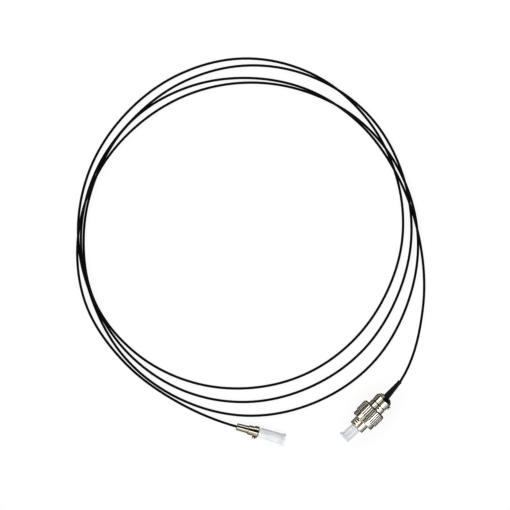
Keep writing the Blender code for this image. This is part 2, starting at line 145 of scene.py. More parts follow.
route = [
    COIL_CENTRE + heading(angle) * radius + Vector((0.0, 0.0, height))
    for angle, radius, height in zip(angles, radii, heights)
]
cord_start = route[0].copy()
cord_end = route[-1].copy()
route.insert(0, cord_start - heading(BOOT_HEADING) * IN_BOOT)
route.append(cord_end + heading(FERRULE_HEADING) * IN_TAIL)

line = bpy.data.curves.new("patch_cord", "CURVE")
line.dimensions = "3D"
line.bevel_depth = CORD_RADIUS
line.bevel_resolution = 4
line.use_fill_caps = True
spline = line.splines.new("POLY")
spline.points.add(len(route) - 1)
for point, place in zip(spline.points, route):
    point.co = (*place, 1.0)
spline.use_smooth = True
cord = bpy.data.objects.new("patch_cord", line)
bpy.context.scene.collection.objects.link(cord)


def linear(code):
    """An sRGB hex colour as the linear numbers that the shaders take."""
    parts = [int(code[i:i + 2], 16) / 255 for i in (1, 3, 5)]
    return [c / 12.92 if c <= 0.04045 else ((c + 0.055) / 1.055) ** 2.4 for c in parts] + [1.0]


def add_node(material, kind, inputs, **settings):
    """Adds a node. An input is a plain value, or the socket of another node to link it from."""
    node = material.node_tree.nodes.new(kind)
    for name, value in settings.items():
        setattr(node, name, value)
    for socket, value in inputs.items():
        if isinstance(value, bpy.types.NodeSocket):
            material.node_tree.links.new(value, node.inputs[socket])
        else:
            node.inputs[socket].default_value = value
    return node


# Extruded black thermoplastic jacket: a satin gloss from the die, a little uneven along the cord,
# with rubbed, slightly greyer patches. The patches are real size, about 3 mm.
jacket = bpy.data.materials.new("extruded_black_jacket")
jacket.use_nodes = True
shader = jacket.node_tree.nodes["Principled BSDF"]
shader.inputs["Specular IOR Level"].default_value = 0.12
shader.inputs["IOR"].default_value = 1.50
place = add_node(jacket, "ShaderNodeTexCoord", {})
patches = add_node(
    jacket, "ShaderNodeTexNoise", {"Vector": place.outputs["Object"], "Scale": 330.0, "Detail": 3.0}
)
grain = add_node(
    jacket, "ShaderNodeTexNoise", {"Vector": place.outputs["Object"], "Scale": 5200.0, "Detail": 2.0}
)
tint = add_node(jacket, "ShaderNodeValToRGB", {"Fac": patches.outputs["Fac"]})
tint.color_ramp.elements[0].position = 0.35
tint.color_ramp.elements[0].color = linear("#040506")
tint.color_ramp.elements[1].position = 0.70
tint.color_ramp.elements[1].color = linear("#0B0C0F")
gloss = add_node(
    jacket,
    "ShaderNodeMapRange",
    {"Value": patches.outputs["Fac"], "From Min": 0.3, "From Max": 0.7, "To Min": 0.34, "To Max": 0.48},
)
pits = add_node(
    jacket, "ShaderNodeBump", {"Height": grain.outputs["Fac"], "Strength": 0.15, "Distance": 0.00002}
)
jacket.node_tree.links.new(tint.outputs["Color"], shader.inputs["Base Color"])
jacket.node_tree.links.new(gloss.outputs["Result"], shader.inputs["Roughness"])
jacket.node_tree.links.new(pits.outputs["Normal"], shader.inputs["Normal"])
line.materials.append(jacket)

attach(cord, "cord_and_housings")
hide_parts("cord")


# Boot
# A slim rubber sleeve, moulded in one, that keeps the cord from kinking where it leaves the
# connector. Its foot is pushed into the rear body, and the cord pulls it a little to one side.
BOOT_LENGTH = 0.0090
BOOT_FOOT_RADIUS = 0.00125
BOOT_TIP_RADIUS = 0.00074
BOOT_LIP_RADIUS = 0.00084
BOOT_LIP_LENGTH = 0.0005
BOOT_LIP_EDGE = 0.00012
BOOT_LIP_BEHIND = 0.0008
BOOT_MOUTH_DEPTH = 0.0004
BOOT_FOOT_LENGTH = 0.0012
BOOT_ROUNDING = 0.00008
CORD_HOLE_RADIUS = CORD_RADIUS * 1.04
CORD_GAP = 0.0003
SIDES = 96

boot_foot = cord_start - heading(BOOT_HEADING) * (BOOT_LENGTH + CORD_GAP)


def rounded(piece, width, least_angle=25.0):
    """Rounds the edges that turn by more than the angle, and keeps the faces between them true."""
    bpy.ops.object.select_all(action="DESELECT")
    piece.select_set(True)
    bpy.context.view_layer.objects.active = piece
    bpy.ops.object.shade_smooth_by_angle(angle=math.radians(least_angle))
    bevel = piece.modifiers.new("rounding", "BEVEL")
    bevel.width = width
    bevel.segments = 3
    bevel.limit_method = "ANGLE"
    bevel.angle_limit = math.radians(least_angle)
    bevel.harden_normals = True
    bpy.ops.object.modifier_apply(modifier="rounding")


def turned(name, outline, rounding):
    """A turned piece on +Z: its outline, in (radius, station) pairs, is drawn and spun, then rounded."""
    bpy.ops.object.select_all(action="DESELECT")
    bpy.ops.mesh.primitive_plane_add(size=0.001, location=(0.0, 0.0, 0.0))
    piece = bpy.context.object
    piece.name = name
    piece.data.name = name
    bpy.ops.object.mode_set(mode="EDIT")
    bpy.ops.mesh.select_all(action="SELECT")
    bpy.ops.mesh.merge(type="CENTER")
    bpy.ops.transform.translate(value=(outline[0][0], 0.0, outline[0][1]))
    for (radius, station), (next_radius, next_station) in zip(outline, outline[1:]):
        step = (next_radius - radius, 0.0, next_station - station)
        bpy.ops.mesh.extrude_vertices_move(TRANSFORM_OT_translate={"value": step})
    bpy.ops.mesh.select_all(action="SELECT")
    bpy.ops.mesh.spin(steps=SIDES, angle=2 * math.pi, center=(0.0, 0.0, 0.0), axis=(0.0, 0.0, 1.0))
    bpy.ops.mesh.select_all(action="SELECT")
    bpy.ops.mesh.remove_doubles(threshold=0.000001)
    bpy.ops.mesh.normals_make_consistent(inside=False)
    bpy.ops.object.mode_set(mode="OBJECT")
    if rounding:
        rounded(piece, rounding)
    return piece


def set_down(piece, origin, way):
    """Lays a piece made on +Z along its heading, and fixes its place in its mesh."""
    bpy.ops.object.select_all(action="DESELECT")
    piece.select_set(True)
    bpy.context.view_layer.objects.active = piece
    piece.location = origin
    piece.rotation_euler = (math.pi / 2, 0.0, math.radians(way) + math.pi / 2)
    bpy.ops.object.transform_apply(location=True, rotation=True, scale=True)


def lengthwise(material, origin, way):
    """Object coordinates turned so that Z runs along a piece's own axis."""
    place = add_node(material, "ShaderNodeTexCoord", {})
    turned_to = (math.pi / 2, 0.0, math.radians(way) + math.pi / 2)
    mapped = add_node(
        material,
        "ShaderNodeMapping",
        {"Vector": place.outputs["Object"], "Location": origin, "Rotation": turned_to},
        vector_type="TEXTURE",
    )
    return mapped.outputs["Vector"]


tip = BOOT_LENGTH
boot = turned(
    "connector_boot",
    (
        (0.0, tip - BOOT_MOUTH_DEPTH),
        (CORD_HOLE_RADIUS, tip - BOOT_MOUTH_DEPTH),
        (CORD_HOLE_RADIUS, tip),
        (BOOT_LIP_RADIUS - BOOT_LIP_EDGE, tip),
        (BOOT_LIP_RADIUS, tip - BOOT_LIP_EDGE),
        (BOOT_LIP_RADIUS, tip - BOOT_LIP_LENGTH),
        (BOOT_TIP_RADIUS, tip - BOOT_LIP_BEHIND),
        (BOOT_FOOT_RADIUS, BOOT_FOOT_LENGTH),
        (BOOT_FOOT_RADIUS, 0.0),
        (0.0, 0.0),
    ),
    BOOT_ROUNDING,
)
set_down(boot, boot_foot, BOOT_HEADING)

# Injection-moulded black rubber: dull, with a soft sheen at the edges and a fine sparked grain from
# the mould, drawn 0.1 mm coarse so that it shows.
rubber = bpy.data.materials.new("moulded_black_rubber")
rubber.use_nodes = True
shader = rubber.node_tree.nodes["Principled BSDF"]
shader.inputs["Specular IOR Level"].default_value = 0.25
shader.inputs["IOR"].default_value = 1.52
shader.inputs["Sheen Weight"].default_value = 0.02
along = lengthwise(rubber, boot_foot, BOOT_HEADING)
grain = add_node(rubber, "ShaderNodeTexNoise", {"Vector": along, "Scale": 9000.0, "Detail": 2.0})
patches = add_node(rubber, "ShaderNodeTexNoise", {"Vector": along, "Scale": 420.0, "Detail": 2.0})
tint = add_node(rubber, "ShaderNodeValToRGB", {"Fac": patches.outputs["Fac"]})
tint.color_ramp.elements[0].position = 0.35
tint.color_ramp.elements[0].color = linear("#020203")
tint.color_ramp.elements[1].position = 0.70
tint.color_ramp.elements[1].color = linear("#08090D")
gloss = add_node(
    rubber,
    "ShaderNodeMapRange",
    {"Value": patches.outputs["Fac"], "From Min": 0.3, "From Max": 0.7, "To Min": 0.38, "To Max": 0.52},
)
pits = add_node(
    rubber, "ShaderNodeBump", {"Height": grain.outputs["Fac"], "Strength": 0.3, "Distance": 0.00002}
)
rubber.node_tree.links.new(tint.outputs["Color"], shader.inputs["Base Color"])
rubber.node_tree.links.new(gloss.outputs["Result"], shader.inputs["Roughness"])
rubber.node_tree.links.new(pits.outputs["Normal"], shader.inputs["Normal"])
boot.data.materials.append(rubber)

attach(boot, "cord_and_housings")
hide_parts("boot")


# Rear body
# The connector's housing, turned from brass bar and nickel plated. The boot sits in its coned end,
# the ring and the nut go on its neck, and a small pip on its rim shows which way the key faces.
CONNECTOR_HEADING = -135.0
NUT_LENGTH = 0.0070
NUT_WALL = 0.0010
BODY_BEHIND_NUT = 0.0063
BODY_RADIUS = 0.00335
WAIST_RADIUS = 0.00325
BODY_CONE = 0.00165
SHOULDER_IN = 0.64
SHOULDER_ALONG = 0.18
BODY_RIM = 0.0014
RING_LENGTH = 0.0029
RING_WALL = 0.00055
SHELL_BORE = 0.0024
SPIGOT_LENGTH = 0.0024
SPIGOT_DEPTH = 0.0034
FERRULE_RADIUS = 0.00125
SEAT_GAP = 0.0003
SCORE_DEPTH = 0.00008
SCORE_WIDTH = 0.00012
GROOVE_DEPTH = 0.00025
RING_CLEARANCE = 0.00002
BOOT_DEPTH = 0.0010
BOOT_CLEARANCE = 0.0001
ROUNDING = 0.00006

nut_front = boot_foot + heading(CONNECTOR_HEADING) * (NUT_LENGTH + BODY_BEHIND_NUT - BOOT_DEPTH)
rear = -NUT_LENGTH - BODY_BEHIND_NUT
rim_rear = rear + BODY_CONE
rim_front = rim_rear + BODY_RIM
waist_front = -NUT_LENGTH + NUT_WALL - RING_LENGTH - SEAT_GAP
groove_front = waist_front + SEAT_GAP - RING_CLEARANCE
neck_front = -NUT_LENGTH + NUT_WALL
neck_radius = WAIST_RADIUS - RING_WALL - SEAT_GAP
spigot_front = neck_front + SEAT_GAP + SPIGOT_LENGTH
spigot_bore = FERRULE_RADIUS + SEAT_GAP
socket = BOOT_FOOT_RADIUS + BOOT_CLEARANCE
cone_shoulder = (BODY_RADIUS - BODY_CONE * SHOULDER_IN, rear + BODY_CONE * SHOULDER_ALONG)

body = turned(
    "rear_body_turned",
    (
        (0.0, spigot_front - SPIGOT_DEPTH),
        (spigot_bore, spigot_front - SPIGOT_DEPTH),
        (spigot_bore, spigot_front),
        (SHELL_BORE - SEAT_GAP, spigot_front),
        (SHELL_BORE - SEAT_GAP, neck_front),
        (neck_radius, neck_front),
        (neck_radius, groove_front),
        (WAIST_RADIUS - GROOVE_DEPTH, groove_front),
        (WAIST_RADIUS - GROOVE_DEPTH, waist_front),
        (WAIST_RADIUS, waist_front),
        (WAIST_RADIUS, rim_front - SCORE_WIDTH),
        (WAIST_RADIUS - SCORE_DEPTH, rim_front - SCORE_WIDTH / 2),
        (WAIST_RADIUS - SCORE_DEPTH, rim_front),
        (BODY_RADIUS, rim_front),
        (BODY_RADIUS, rim_rear),
        cone_shoulder,
        (BODY_RADIUS - BODY_CONE, rear),
        (socket, rear),
        (socket, rear + BOOT_DEPTH + SEAT_GAP),
        (0.0, rear + BOOT_DEPTH + SEAT_GAP),
    ),
    ROUNDING,
)


# The coat is a tinted film far too thin to bend the light, so its IOR is that of air. What the plating
# reflects at a glancing angle is browner still. Both are painted shade that darkens the edges.
FILM_IOR = 1.0
EDGE_BROWN = "#2C251B"
GLOSS_SPREAD = 0.08


def plated(name, origin, way, dull, dark, light, film):
    """Bright nickel over turned brass: a warm silver mirror, crossed by the tool's fine rings. A tinted
    coat browns it with painted shade, the more so the longer the light's way through the coat is."""
    metal = bpy.data.materials.new(name)
    metal.use_nodes = True
    shader = metal.node_tree.nodes["Principled BSDF"]
    shader.inputs["Metallic"].default_value = 1.0
    shader.inputs["Specular Tint"].default_value = linear(EDGE_BROWN)
    shader.inputs["Coat Weight"].default_value = 1.0
    shader.inputs["Coat IOR"].default_value = FILM_IOR
    shader.inputs["Coat Tint"].default_value = linear(film)
    along = lengthwise(metal, origin, way)
    # the rings are 0.13 mm apart, drawn coarser than a real tool's 0.05 mm so that they show
    rings = add_node(
        metal,
        "ShaderNodeTexWave",
        {"Vector": along, "Scale": 2400.0, "Distortion": 0.6, "Detail": 1.0, "Detail Scale": 3.0},
        wave_type="BANDS",
        bands_direction="Z",
    )
    clouds = add_node(metal, "ShaderNodeTexNoise", {"Vector": along, "Scale": 650.0, "Detail": 3.0})
    tint = add_node(metal, "ShaderNodeValToRGB", {"Fac": clouds.outputs["Fac"]})
    tint.color_ramp.elements[0].position = 0.30
    tint.color_ramp.elements[0].color = linear(dark)
    tint.color_ramp.elements[1].position = 0.70
    tint.color_ramp.elements[1].color = linear(light)
    duller = dull + GLOSS_SPREAD
    gloss = add_node(
        metal,
        "ShaderNodeMapRange",
        {"Value": clouds.outputs["Fac"], "From Min": 0.3, "From Max": 0.7, "To Min": dull, "To Max": duller},
    )
    marks = add_node(
        metal, "ShaderNodeBump", {"Height": rings.outputs["Fac"], "Strength": 0.03, "Distance": 0.00001}
    )
    metal.node_tree.links.new(tint.outputs["Color"], shader.inputs["Base Color"])
    metal.node_tree.links.new(gloss.outputs["Result"], shader.inputs["Roughness"])
    metal.node_tree.links.new(marks.outputs["Normal"], shader.inputs["Normal"])
    return metal


nickel = plated(
    "nickel_plated_turned_brass",
    nut_front,
    CONNECTOR_HEADING,
    dull=0.07,
    dark="#D4D2CD",
    light="#EEECE8",
    film="#DDDBD7",
)
# A near-black, dull copy of the nickel for the knurl's flutes, the key's cuts, the groove behind the ring and
# the nut's rear chamfer: painted shade.
painted_shade_nickel = plated(
    "near_black_nickel_painted_shade",
    nut_front,
    CONNECTOR_HEADING,
    dull=0.42,
    dark="#100E0B",
    light="#1E1B16",
    film="#CFCCC6",
)
body.data.materials.append(nickel)
body.data.materials.append(painted_shade_nickel)
# The groove just behind the ring takes the near-black copy of the nickel: painted shade in the gap between
# the ring and the body.
for face in body.data.polygons:
    out = math.hypot(face.center.x, face.center.y)
    face.material_index = int(waist_front < face.center.z < groove_front and out > neck_radius + GROOVE_DEPTH)
set_down(body, nut_front, CONNECTOR_HEADING)
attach(body, "cord_and_housings")
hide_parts("rear_body")

# The pip is pressed into the rim's side and rounded over.
PIP_HEIGHT = 0.0007
PIP_WIDTH = 0.0010
PIP_LENGTH = 0.0013
PIP_ROUNDING = 0.00035

bpy.ops.object.select_all(action="DESELECT")
bpy.ops.mesh.primitive_cube_add(size=1.0, location=(BODY_RADIUS, 0.0, (rim_front + rim_rear) / 2))
pip = bpy.context.object
pip.name = "body_pip"
pip.data.name = "body_pip"
pip.scale = (2 * PIP_HEIGHT, PIP_WIDTH, PIP_LENGTH)
bpy.ops.object.transform_apply(location=True, rotation=True, scale=True)
rounded(pip, PIP_ROUNDING)
set_down(pip, nut_front, CONNECTOR_HEADING)
pip.data.materials.append(nickel)
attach(pip, "cord_and_housings")

# The boot's foot spreads into a coned skirt in the body's end. The cord pulls the boot to one side,
# so the skirt's other side stands out of the cone.
SKIRT_RADIUS = 0.00322
SKIRT_LEAN = 8.0
SKIRT_PIVOT = (0.0003, 0.0, rear + 0.0007)
SKIRT_LIP = 0.0001
SKIRT_ROUNDING = 0.00005

cone_rise = (1.0 - SHOULDER_ALONG) / SHOULDER_IN
skirt_edge = cone_shoulder[1] + (SKIRT_RADIUS - cone_shoulder[0]) * cone_rise
skirt = turned(
    "boot_skirt",
    (
        (BOOT_TIP_RADIUS, rear),
        (BODY_RADIUS - BODY_CONE, rear),
        cone_shoulder,
        (SKIRT_RADIUS, skirt_edge),
        (SKIRT_RADIUS - SKIRT_LIP, skirt_edge + SKIRT_LIP),
        (BOOT_TIP_RADIUS, skirt_edge + SKIRT_LIP),
        (BOOT_TIP_RADIUS, rear),
    ),
    SKIRT_ROUNDING,
)
skirt.data.transform(Matrix.Translation(-Vector(SKIRT_PIVOT)))
skirt.data.transform(Matrix.Rotation(math.radians(SKIRT_LEAN), 4, "Y"))
skirt.data.transform(Matrix.Translation(Vector(SKIRT_PIVOT)))
set_down(skirt, nut_front, CONNECTOR_HEADING)
skirt.data.materials.append(rubber)
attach(skirt, "cord_and_housings")


# Bearing ring
# A plain plated ring, pushed on the body's neck, that the nut turns on. A small hole in its side is
# for the pin that stops it turning.
RING_HOLE_RADIUS = 0.00030
RING_HOLE_ANGLE = 74.0
RING_HOLE_BEHIND = 0.0010
EDGE_BREAK = 0.00004

ring = turned(
    "bearing_ring_turned",
    (
        (WAIST_RADIUS, neck_front),
        (WAIST_RADIUS, neck_front - RING_LENGTH),
        (WAIST_RADIUS - RING_WALL, neck_front - RING_LENGTH),
        (WAIST_RADIUS - RING_WALL, neck_front),
        (WAIST_RADIUS, neck_front),
    ),
    0.0,
)
bpy.ops.object.select_all(action="DESELECT")
hole_way = math.radians(RING_HOLE_ANGLE)
hole_middle = (
    WAIST_RADIUS * math.cos(hole_way),
    WAIST_RADIUS * math.sin(hole_way),
    -NUT_LENGTH - RING_HOLE_BEHIND,
)
bpy.ops.mesh.primitive_cylinder_add(
    vertices=24,
    radius=RING_HOLE_RADIUS,
    depth=4 * RING_WALL,
    location=hole_middle,
    rotation=(0.0, math.pi / 2, hole_way),
)
drill = bpy.context.object


def cut_out(piece, cutter):
    """Takes the cutter's form out of the piece, and then the cutter away."""
    cut = piece.modifiers.new("cut", "BOOLEAN")
    cut.operation = "DIFFERENCE"
    cut.object = cutter
    bpy.context.view_layer.objects.active = piece
    bpy.ops.object.modifier_apply(modifier="cut")
    bpy.data.objects.remove(cutter, do_unlink=True)


cut_out(ring, drill)
rounded(ring, EDGE_BREAK, least_angle=60.0)
set_down(ring, nut_front, CONNECTOR_HEADING)
ring.data.materials.append(nickel)
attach(ring, "cord_and_housings")
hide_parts("bearing_ring")


# Front shell
# The plated tube that goes into the adapter, with the key that lines it up. Its flange, inside the
# nut, holds the nut on.
SHELL_RADIUS = 0.0030
SHELL_REACH = 0.0032
SHELL_EDGE = 0.0002
FLANGE_LENGTH = 0.0010
NUT_RELIEF = 0.0041
KEY_WIDTH = 0.0021
KEY_LENGTH = 0.0026
KEY_HEIGHT = 0.00045
KEY_BEHIND = 0.0003
KEY_ANGLE = 110.0

shell_rear = neck_front + SEAT_GAP
shell = turned(
    "front_shell_turned",
    (
        (SHELL_BORE, SHELL_REACH),
        (SHELL_RADIUS - SHELL_EDGE, SHELL_REACH),
        (SHELL_RADIUS, SHELL_REACH - SHELL_EDGE),
        (SHELL_RADIUS, shell_rear + FLANGE_LENGTH),
        (NUT_RELIEF - SEAT_GAP, shell_rear + FLANGE_LENGTH),
        (NUT_RELIEF - SEAT_GAP, shell_rear),
        (SHELL_BORE, shell_rear),
        (SHELL_BORE, SHELL_REACH),
    ),
    ROUNDING,
)
set_down(shell, nut_front, CONNECTOR_HEADING)
shell.data.materials.append(nickel)
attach(shell, "cord_and_housings")
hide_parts("front_shell")

sunk = (SHELL_RADIUS - SHELL_BORE) / 2
bpy.ops.object.select_all(action="DESELECT")
bpy.ops.mesh.primitive_cube_add(
    size=1.0,
    location=(SHELL_RADIUS + (KEY_HEIGHT - sunk) / 2, 0.0, SHELL_REACH - KEY_BEHIND - KEY_LENGTH / 2),
)
key = bpy.context.object
key.name = "shell_key"
key.data.name = "shell_key"
key.scale = (KEY_HEIGHT + sunk, KEY_WIDTH, KEY_LENGTH)
bpy.ops.object.transform_apply(location=True, rotation=True, scale=True)

# Three short cuts cross the key's outer half. Their faces take the near-black, dull copy of the nickel:
# painted shade in the cuts.
KEY_CUTS = (0.00062, 0.00148, 0.00255)
KEY_CUT_WIDTH = 0.00046
KEY_CUT_LENGTH = 0.0013
KEY_CUT_MIDDLE = KEY_CUT_LENGTH * 0.42
KEY_SKIN = 0.00003

key_top = SHELL_RADIUS + KEY_HEIGHT
for station in KEY_CUTS:
    bpy.ops.mesh.primitive_cube_add(size=1.0, location=(key_top, KEY_CUT_MIDDLE, station))
    cutter = bpy.context.object
    cutter.scale = (2 * KEY_HEIGHT, KEY_CUT_LENGTH, KEY_CUT_WIDTH)
    bpy.ops.object.transform_apply(location=True, rotation=True, scale=True)
    cut_out(key, cutter)
rounded(key, EDGE_BREAK)
key.data.materials.append(nickel)
key.data.materials.append(painted_shade_nickel)
for face in key.data.polygons:
    in_cut = any(abs(face.center.z - station) < KEY_CUT_WIDTH * 0.6 for station in KEY_CUTS)
    on_outer_half = face.center.y > -KEY_CUT_LENGTH * 0.1
    face.material_index = int(in_cut and on_outer_half and face.center.x < key_top - KEY_SKIN)
key.rotation_euler = (0.0, 0.0, math.radians(KEY_ANGLE))
bpy.ops.object.transform_apply(location=True, rotation=True, scale=True)
set_down(key, nut_front, CONNECTOR_HEADING)
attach(key, "cord_and_housings")


# Coupling nut
# The plated brass nut that draws the connector up to an adapter: a straight knurl for the fingers,
# a smooth collar in front of it, and the thread inside.
NUT_RADIUS = 0.0050
NUT_CHAMFER = 0.0006
COLLAR_RADIUS = 0.00465
COLLAR_LENGTH = 0.0021
COLLAR_EDGE = 0.0003
THREAD_RADIUS = 0.00365
THREAD_LENGTH = 0.0035
THREAD_PITCH = 0.0005
THREAD_EDGE = 0.0002
THREAD_END = 0.0001
RIBS = 36
FLUTE_DEPTH = 0.00026
FLUTE_WALL = FLUTE_DEPTH * 0.3
UNDERCUT = 0.0002
BRIGHT_CHAMFER = 0.35 * NUT_CHAMFER

thread = []
turns = int(THREAD_LENGTH / THREAD_PITCH)
for i in range(turns):
    station = -THREAD_LENGTH + i * THREAD_PITCH
    thread.append((THREAD_RADIUS, station))
    thread.append((THREAD_RADIUS + THREAD_PITCH * 0.5, station + THREAD_PITCH / 2))
nut = turned(
    "coupling_nut_turned",
    (
        (THREAD_RADIUS + THREAD_EDGE, 0.0),
        (COLLAR_RADIUS - COLLAR_EDGE, 0.0),
        (COLLAR_RADIUS, -COLLAR_EDGE),
        (COLLAR_RADIUS, -COLLAR_LENGTH + UNDERCUT),
        (COLLAR_RADIUS - UNDERCUT, -COLLAR_LENGTH + UNDERCUT),
        (COLLAR_RADIUS - UNDERCUT, -COLLAR_LENGTH - UNDERCUT),
        (NUT_RADIUS - NUT_CHAMFER, -NUT_LENGTH),
        (WAIST_RADIUS + SEAT_GAP, -NUT_LENGTH),
        (WAIST_RADIUS + SEAT_GAP, neck_front),
        (NUT_RELIEF, neck_front),
        (NUT_RELIEF, -THREAD_LENGTH - THREAD_END),
        *thread,
        (THREAD_RADIUS + THREAD_EDGE, 0.0),
    ),
    0.0,
)
rounded(nut, EDGE_BREAK, least_angle=20.0)

# The knurl is a sleeve over the nut's rear, its flutes pressed in between the ribs.
bpy.ops.object.select_all(action="DESELECT")
grip = NUT_LENGTH - COLLAR_LENGTH - NUT_CHAMFER
bpy.ops.mesh.primitive_cylinder_add(
    vertices=RIBS * 4,
    radius=NUT_RADIUS,
    depth=grip,
    end_fill_type="NOTHING",
    location=(0.0, 0.0, -COLLAR_LENGTH - grip / 2),
)
knurl = bpy.context.object
knurl.name = "coupling_nut_knurl"
knurl.data.name = "coupling_nut_knurl"
bpy.ops.object.transform_apply(location=True, rotation=True, scale=True)


def choose(piece, test):
    """Selects the vertices that pass the test, and leaves the piece in edit mode."""
    bpy.ops.object.mode_set(mode="EDIT")
    bpy.ops.mesh.select_mode(type="VERT")
    bpy.ops.mesh.select_all(action="DESELECT")
    bpy.ops.object.mode_set(mode="OBJECT")
    for vertex in piece.data.vertices:
        vertex.select = test(vertex.co)
    bpy.ops.object.mode_set(mode="EDIT")


def in_flute(co):
    """Every fourth line round the sleeve is the bottom of a flute."""
    return round(math.degrees(math.atan2(co.y, co.x)) * RIBS * 4 / 360.0) % 4 == 2


choose(knurl, in_flute)
pressed = 1.0 - FLUTE_DEPTH / NUT_RADIUS
bpy.ops.transform.resize(value=(pressed, pressed, 1.0), center_override=(0.0, 0.0, 0.0))
grip_rear = -COLLAR_LENGTH - grip
for edge, step, inner in (
    (grip_rear, -BRIGHT_CHAMFER, NUT_RADIUS - BRIGHT_CHAMFER),
    (grip_rear - BRIGHT_CHAMFER, BRIGHT_CHAMFER - NUT_CHAMFER, NUT_RADIUS - NUT_CHAMFER),
    (-COLLAR_LENGTH, 0.0, COLLAR_RADIUS - UNDERCUT),
):
    choose(knurl, lambda co: abs(co.z - edge) < 0.00001)
    bpy.ops.mesh.extrude_edges_move(TRANSFORM_OT_translate={"value": (0.0, 0.0, step)})
    bpy.ops.object.mode_set(mode="OBJECT")
    for vertex in knurl.data.vertices:
        if vertex.select:
            scale = inner / math.hypot(vertex.co.x, vertex.co.y)
            vertex.co.x *= scale
            vertex.co.y *= scale
    bpy.ops.object.mode_set(mode="EDIT")
bpy.ops.mesh.select_all(action="SELECT")
bpy.ops.mesh.normals_make_consistent(inside=False)
bpy.ops.object.mode_set(mode="OBJECT")
rounded(knurl, EDGE_BREAK, least_angle=20.0)
knurl_metal = plated(
    "nickel_plated_knurled_brass",
    nut_front,
    CONNECTOR_HEADING,
    dull=0.17,
    dark="#DEDCD7",
    light="#F2F1ED",
    film="#F1F0ED",
)
knurl.data.materials.append(knurl_metal)
knurl.data.materials.append(painted_shade_nickel)
# The flutes and the rear part of the chamfer take the near-black copy of the nickel: painted shade in the
# flutes, and a painted dark line behind the nut.
for face in knurl.data.polygons:
    out = math.hypot(face.center.x, face.center.y)
    in_a_flute = grip_rear < face.center.z < -COLLAR_LENGTH and out < NUT_RADIUS - FLUTE_WALL
    face.material_index = int(in_a_flute or face.center.z < grip_rear - BRIGHT_CHAMFER)
nut.data.materials.append(nickel)
for piece in (nut, knurl):
    set_down(piece, nut_front, CONNECTOR_HEADING)
    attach(piece, "nut")
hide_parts("coupling_nut")


# Ferrules
# Two ground rods of white zirconia, 2.5 mm across, with the fibre in a fine hole down the middle.
# One floats on a spring in the connector; the other is pressed into its metal flange.
TIP_RADIUS = 0.0008
TIP_CHAMFER = 0.0005
TIP_DOME = 0.00003
CONNECTOR_FERRULE_TIP = SHELL_REACH + 0.0020
CONNECTOR_FERRULE_LENGTH = 0.0102
BARE_REACH = 0.0076
BARE_SEAT = 0.0027
SECOND_RING = 0.00185
RING_GROOVE = 0.0003
FIRST_RING = 0.0019
TAIL_LENGTH = 0.0046
TAIL_BORE_DEPTH = 0.0015

flange_length = SECOND_RING + RING_GROOVE + FIRST_RING + TAIL_LENGTH
flange_front = cord_end + heading(FERRULE_HEADING) * (flange_length - TAIL_BORE_DEPTH + IN_TAIL + SEAT_GAP)

for name, node, tip, length, origin, way, rides in (
    (
        "connector_ferrule_ground",
        "connector_ferrule",
        CONNECTOR_FERRULE_TIP,
        CONNECTOR_FERRULE_LENGTH,
        nut_front,
        CONNECTOR_HEADING,
        "sprung_ferrule",
    ),
    (
        "bare_ferrule_ground",
        "bare_ferrule",
        BARE_REACH,
        BARE_REACH + BARE_SEAT,
        flange_front,
        FERRULE_HEADING,
        "cord_and_housings",
    ),
):
    rod = turned(
        name,
        (
            (0.0, tip),
            (TIP_RADIUS, tip - TIP_DOME),
            (FERRULE_RADIUS, tip - TIP_CHAMFER),
            (FERRULE_RADIUS, tip - length),
            (0.0, tip - length),
        ),
        EDGE_BREAK,
    )
    set_down(rod, origin, way)
    # Sintered zirconia, ground and polished: milky white, dense, with a glassy gloss and grinding
    # rings too fine to see, drawn 0.1 mm apart.
    ceramic = bpy.data.materials.new(name + "_zirconia")
    ceramic.use_nodes = True
    shader = ceramic.node_tree.nodes["Principled BSDF"]
    shader.inputs["IOR"].default_value = 2.0
    shader.inputs["Subsurface Weight"].default_value = 0.2
    shader.inputs["Subsurface Radius"].default_value = (0.0006, 0.0005, 0.0004)
    shader.inputs["Subsurface Scale"].default_value = 1.0
    along = lengthwise(ceramic, origin, way)
    clouds = add_node(ceramic, "ShaderNodeTexNoise", {"Vector": along, "Scale": 500.0, "Detail": 2.0})
    tint = add_node(ceramic, "ShaderNodeValToRGB", {"Fac": clouds.outputs["Fac"]})
    tint.color_ramp.elements[0].color = linear("#E9E6DC")
    tint.color_ramp.elements[1].color = linear("#F5F3EC")
    rings = add_node(
        ceramic,
        "ShaderNodeTexWave",
        {"Vector": along, "Scale": 3100.0, "Distortion": 0.3},
        wave_type="BANDS",
        bands_direction="Z",
    )
    gloss = add_node(
        ceramic, "ShaderNodeMapRange", {"Value": rings.outputs["Fac"], "To Min": 0.10, "To Max": 0.18}
    )
    ceramic.node_tree.links.new(tint.outputs["Color"], shader.inputs["Base Color"])
    ceramic.node_tree.links.new(gloss.outputs["Result"], shader.inputs["Roughness"])
    rod.data.materials.append(ceramic)
    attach(rod, rides)
    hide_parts(node)


# Ferrule flange
# The plated metal holder of the bare ferrule: a tail tube that takes the cord, and two rings that a
# spring and a housing would bear on, the front one with a lug and a keyway.
TAIL_REAR_RADIUS = 0.00130
TAIL_FRONT_RADIUS = 0.00142
TAIL_CLEARANCE = 0.00006
FIRST_RING_RADIUS = 0.0018
SECOND_RING_RADIUS = 0.00215
GROOVE_RADIUS = 0.00165
RING_EDGE = 0.0002
LUG_HEIGHT = 0.0006
LUG_WIDTH = 0.0010
LUG_ROUNDING = 0.00016
PRESS_GAP = 0.00002

